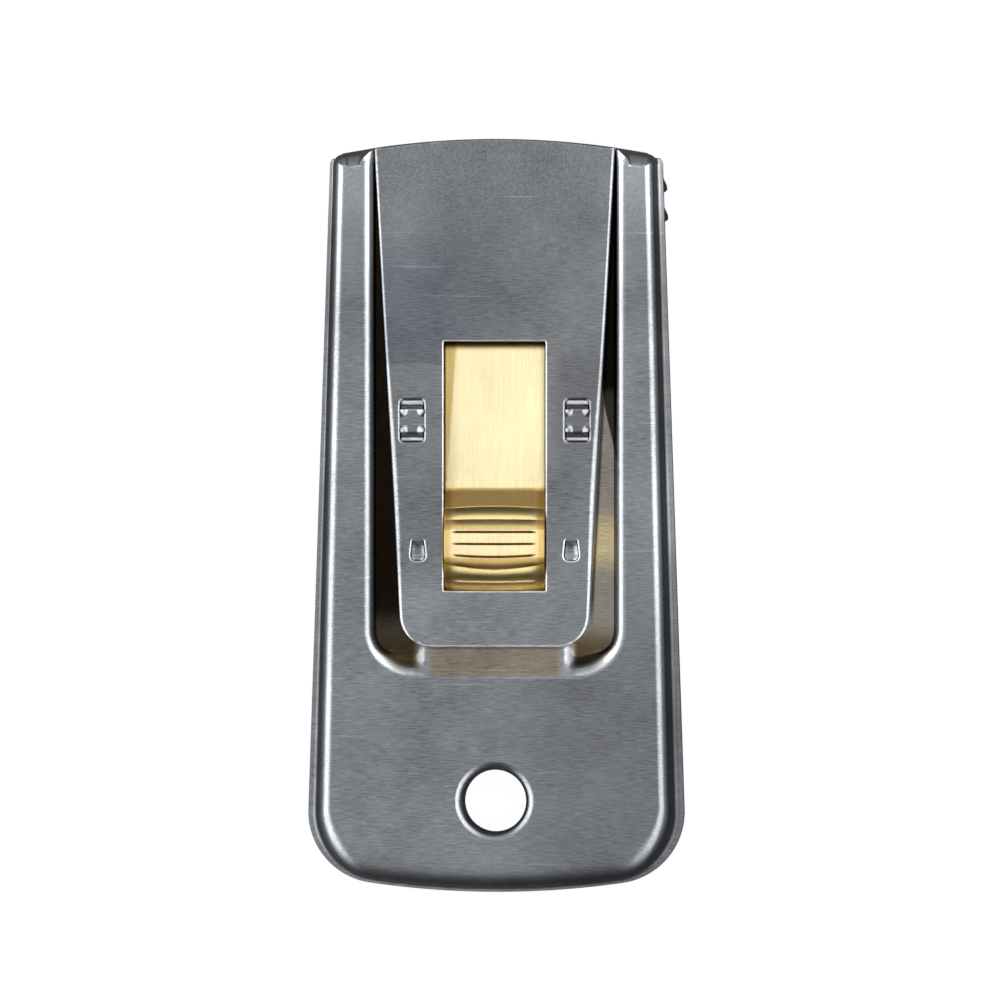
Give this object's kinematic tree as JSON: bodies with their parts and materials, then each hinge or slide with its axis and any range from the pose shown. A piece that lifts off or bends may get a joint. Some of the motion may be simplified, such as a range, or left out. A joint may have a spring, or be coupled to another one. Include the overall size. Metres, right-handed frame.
{
  "type": "razor blade scraper",
  "caption": "Flat pocket scraper of pressed steel with a tapered casing, a hanging hole and a ribbed brass thumb slide that pushes out a single-edge blade.",
  "frame": {"origin": "under the middle of the casing, on the surface that the tool lies on when it rests on its back", "axes": "+Z out of the front face, +Y from the tail towards the blade, +X across the tool"},
  "size_m": [0.0476, 0.0952, 0.0064],
  "materials": {
    "casing_steel": "drawn steel sheet, brushed across, with polished bends and light scratches",
    "plate_steel": "flat steel sheet, brushed across, bright sheared edges",
    "back_steel": "plain rolled steel sheet",
    "carrier_steel": "pressed steel sheet, lightly oiled",
    "spring_brass": "spring brass, brushed along its length, polished on the ribs",
    "rivet_steel": "bright headed rivets",
    "blade_steel": "ground and polished blade steel",
    "spine_steel": "folded bright steel strip"
  },
  "bodies": {
    "casing": {"front_casing": "casing_steel", "guide_plate": "plate_steel", "back_plate": "back_steel"},
    "carriage": {"blade_carrier": "carrier_steel", "spring_rivets": "rivet_steel", "blade": "blade_steel", "blade_spine": "spine_steel"},
    "thumb": {"thumb_spring": "spring_brass"}
  },
  "joints": [
    {"name": "blade_slide", "type": "slide", "parent": "casing", "child": "carriage", "axis": [0, 1, 0], "range_m": [0, 0.0179]},
    {"name": "thumb_press", "type": "hinge", "parent": "carriage", "child": "thumb", "pos_m": [0, 0.02223, 0.0034], "axis": [1, 0, 0], "range_deg": [0, 2], "stiffness_Nm_per_rad": 6}
  ]
}
